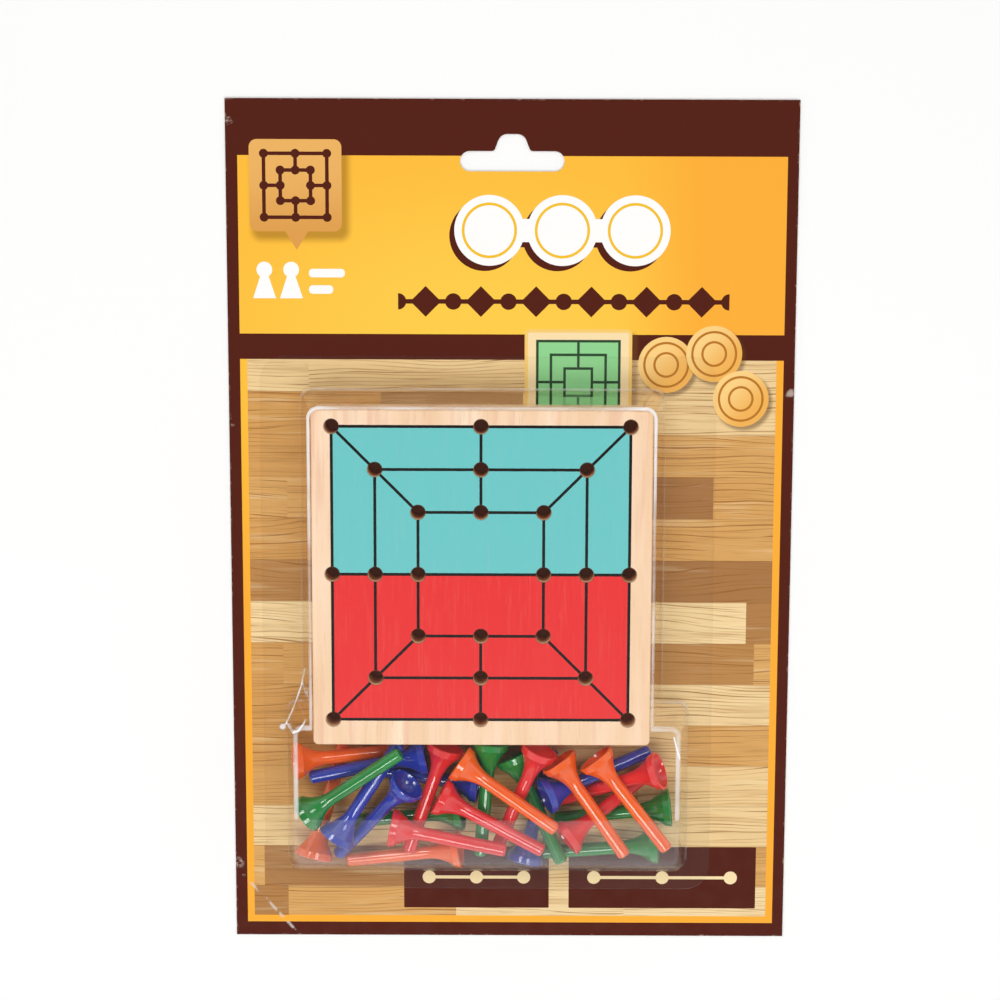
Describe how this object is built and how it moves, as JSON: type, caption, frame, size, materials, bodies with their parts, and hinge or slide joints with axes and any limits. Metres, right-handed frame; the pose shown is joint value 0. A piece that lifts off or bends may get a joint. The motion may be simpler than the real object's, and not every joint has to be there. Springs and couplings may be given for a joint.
{
  "type": "peg board game in a blister pack",
  "caption": "Carded travel game: printed hang card, clear blister with two pockets, drilled wooden mill board and loose golf-tee pegs.",
  "frame": {"origin": "centre of the card's back face, with the pack lying on its back", "axes": "+X across the card to the right as read, +Y up the card towards its hanging hole, +Z out of the printed face"},
  "size_m": [0.174, 0.2624, 0.0215],
  "materials": {
    "printed_card": "printed, satin varnish",
    "clear_film": "clear, glossy",
    "board_wood": "sanded, bare edges with printed face",
    "orange_plastic": "moulded, glossy",
    "green_plastic": "moulded, glossy",
    "blue_plastic": "moulded, glossy",
    "red_plastic": "moulded, glossy"
  },
  "bodies": {
    "card": {"backing_card": "printed_card"},
    "blister": {"blister": "clear_film"},
    "board": {"game_board": "board_wood"},
    "peg_orange_1": {"peg_orange_1": "orange_plastic"},
    "peg_orange_2": {"peg_orange_2": "orange_plastic"},
    "peg_orange_3": {"peg_orange_3": "orange_plastic"},
    "peg_orange_4": {"peg_orange_4": "orange_plastic"},
    "peg_orange_5": {"peg_orange_5": "orange_plastic"},
    "peg_orange_6": {"peg_orange_6": "orange_plastic"},
    "peg_green_1": {"peg_green_1": "green_plastic"},
    "peg_green_2": {"peg_green_2": "green_plastic"},
    "peg_green_3": {"peg_green_3": "green_plastic"},
    "peg_green_4": {"peg_green_4": "green_plastic"},
    "peg_green_5": {"peg_green_5": "green_plastic"},
    "peg_green_6": {"peg_green_6": "green_plastic"},
    "peg_blue_1": {"peg_blue_1": "blue_plastic"},
    "peg_blue_2": {"peg_blue_2": "blue_plastic"},
    "peg_blue_3": {"peg_blue_3": "blue_plastic"},
    "peg_blue_4": {"peg_blue_4": "blue_plastic"},
    "peg_blue_5": {"peg_blue_5": "blue_plastic"},
    "peg_blue_6": {"peg_blue_6": "blue_plastic"},
    "peg_red_1": {"peg_red_1": "red_plastic"},
    "peg_red_2": {"peg_red_2": "red_plastic"},
    "peg_red_3": {"peg_red_3": "red_plastic"},
    "peg_red_4": {"peg_red_4": "red_plastic"},
    "peg_red_5": {"peg_red_5": "red_plastic"},
    "peg_red_6": {"peg_red_6": "red_plastic"}
  },
  "joints": [
    {"name": "blister_lift", "type": "slide", "parent": "card", "child": "blister", "axis": [0, 0, 1], "range_m": [0, 0.15]},
    {"name": "board_lift", "type": "slide", "parent": "card", "child": "board", "axis": [0, 0, 1], "range_m": [0, 0.09]},
    {"name": "peg_orange_1_lift", "type": "slide", "parent": "card", "child": "peg_orange_1", "axis": [0, 0, 1], "range_m": [0, 0.0321]},
    {"name": "peg_orange_2_lift", "type": "slide", "parent": "card", "child": "peg_orange_2", "axis": [0, 0, 1], "range_m": [0, 0.01605]},
    {"name": "peg_orange_3_lift", "type": "slide", "parent": "card", "child": "peg_orange_3", "axis": [0, 0, 1], "range_m": [0, 0.01605]},
    {"name": "peg_orange_4_lift", "type": "slide", "parent": "card", "child": "peg_orange_4", "axis": [0, 0, 1], "range_m": [0, 0.0804]},
    {"name": "peg_orange_5_lift", "type": "slide", "parent": "card", "child": "peg_orange_5", "axis": [0, 0, 1], "range_m": [0, 0.06435]},
    {"name": "peg_orange_6_lift", "type": "slide", "parent": "card", "child": "peg_orange_6", "axis": [0, 0, 1], "range_m": [0, 0.06435]},
    {"name": "peg_green_1_lift", "type": "slide", "parent": "card", "child": "peg_green_1", "axis": [0, 0, 1], "range_m": [0, 0.1125]},
    {"name": "peg_green_2_lift", "type": "slide", "parent": "card", "child": "peg_green_2", "axis": [0, 0, 1], "range_m": [0, 0.01605]},
    {"name": "peg_green_3_lift", "type": "slide", "parent": "card", "child": "peg_green_3", "axis": [0, 0, 1], "range_m": [0, 0.06435]},
    {"name": "peg_green_4_lift", "type": "slide", "parent": "card", "child": "peg_green_4", "axis": [0, 0, 1], "range_m": [0, 0.01605]},
    {"name": "peg_green_5_lift", "type": "slide", "parent": "card", "child": "peg_green_5", "axis": [0, 0, 1], "range_m": [0, 0.01605]},
    {"name": "peg_green_6_lift", "type": "slide", "parent": "card", "child": "peg_green_6", "axis": [0, 0, 1], "range_m": [0, 0.04815]},
    {"name": "peg_blue_1_lift", "type": "slide", "parent": "card", "child": "peg_blue_1", "axis": [0, 0, 1], "range_m": [0, 0.04815]},
    {"name": "peg_blue_2_lift", "type": "slide", "parent": "card", "child": "peg_blue_2", "axis": [0, 0, 1], "range_m": [0, 0.0804]},
    {"name": "peg_blue_3_lift", "type": "slide", "parent": "card", "child": "peg_blue_3", "axis": [0, 0, 1], "range_m": [0, 0.01605]},
    {"name": "peg_blue_4_lift", "type": "slide", "parent": "card", "child": "peg_blue_4", "axis": [0, 0, 1], "range_m": [0, 0.09645]},
    {"name": "peg_blue_5_lift", "type": "slide", "parent": "card", "child": "peg_blue_5", "axis": [0, 0, 1], "range_m": [0, 0.04815]},
    {"name": "peg_blue_6_lift", "type": "slide", "parent": "card", "child": "peg_blue_6", "axis": [0, 0, 1], "range_m": [0, 0.0321]},
    {"name": "peg_red_1_lift", "type": "slide", "parent": "card", "child": "peg_red_1", "axis": [0, 0, 1], "range_m": [0, 0.06435]},
    {"name": "peg_red_2_lift", "type": "slide", "parent": "card", "child": "peg_red_2", "axis": [0, 0, 1], "range_m": [0, 0.0804]},
    {"name": "peg_red_3_lift", "type": "slide", "parent": "card", "child": "peg_red_3", "axis": [0, 0, 1], "range_m": [0, 0.0804]},
    {"name": "peg_red_4_lift", "type": "slide", "parent": "card", "child": "peg_red_4", "axis": [0, 0, 1], "range_m": [0, 0.06435]},
    {"name": "peg_red_5_lift", "type": "slide", "parent": "card", "child": "peg_red_5", "axis": [0, 0, 1], "range_m": [0, 0.04815]},
    {"name": "peg_red_6_lift", "type": "slide", "parent": "card", "child": "peg_red_6", "axis": [0, 0, 1], "range_m": [0, 0.0321]}
  ],
  "couplings": [
    {"joint": "board_lift", "follows": "blister_lift", "ratio": 0.6},
    {"joint": "peg_orange_1_lift", "follows": "blister_lift", "ratio": 0.214},
    {"joint": "peg_orange_2_lift", "follows": "blister_lift", "ratio": 0.107},
    {"joint": "peg_orange_3_lift", "follows": "blister_lift", "ratio": 0.107},
    {"joint": "peg_orange_4_lift", "follows": "blister_lift", "ratio": 0.536},
    {"joint": "peg_orange_5_lift", "follows": "blister_lift", "ratio": 0.429},
    {"joint": "peg_orange_6_lift", "follows": "blister_lift", "ratio": 0.429},
    {"joint": "peg_green_1_lift", "follows": "blister_lift", "ratio": 0.75},
    {"joint": "peg_green_2_lift", "follows": "blister_lift", "ratio": 0.107},
    {"joint": "peg_green_3_lift", "follows": "blister_lift", "ratio": 0.429},
    {"joint": "peg_green_4_lift", "follows": "blister_lift", "ratio": 0.107},
    {"joint": "peg_green_5_lift", "follows": "blister_lift", "ratio": 0.107},
    {"joint": "peg_green_6_lift", "follows": "blister_lift", "ratio": 0.321},
    {"joint": "peg_blue_1_lift", "follows": "blister_lift", "ratio": 0.321},
    {"joint": "peg_blue_2_lift", "follows": "blister_lift", "ratio": 0.536},
    {"joint": "peg_blue_3_lift", "follows": "blister_lift", "ratio": 0.107},
    {"joint": "peg_blue_4_lift", "follows": "blister_lift", "ratio": 0.643},
    {"joint": "peg_blue_5_lift", "follows": "blister_lift", "ratio": 0.321},
    {"joint": "peg_blue_6_lift", "follows": "blister_lift", "ratio": 0.214},
    {"joint": "peg_red_1_lift", "follows": "blister_lift", "ratio": 0.429},
    {"joint": "peg_red_2_lift", "follows": "blister_lift", "ratio": 0.536},
    {"joint": "peg_red_3_lift", "follows": "blister_lift", "ratio": 0.536},
    {"joint": "peg_red_4_lift", "follows": "blister_lift", "ratio": 0.429},
    {"joint": "peg_red_5_lift", "follows": "blister_lift", "ratio": 0.321},
    {"joint": "peg_red_6_lift", "follows": "blister_lift", "ratio": 0.214}
  ]
}
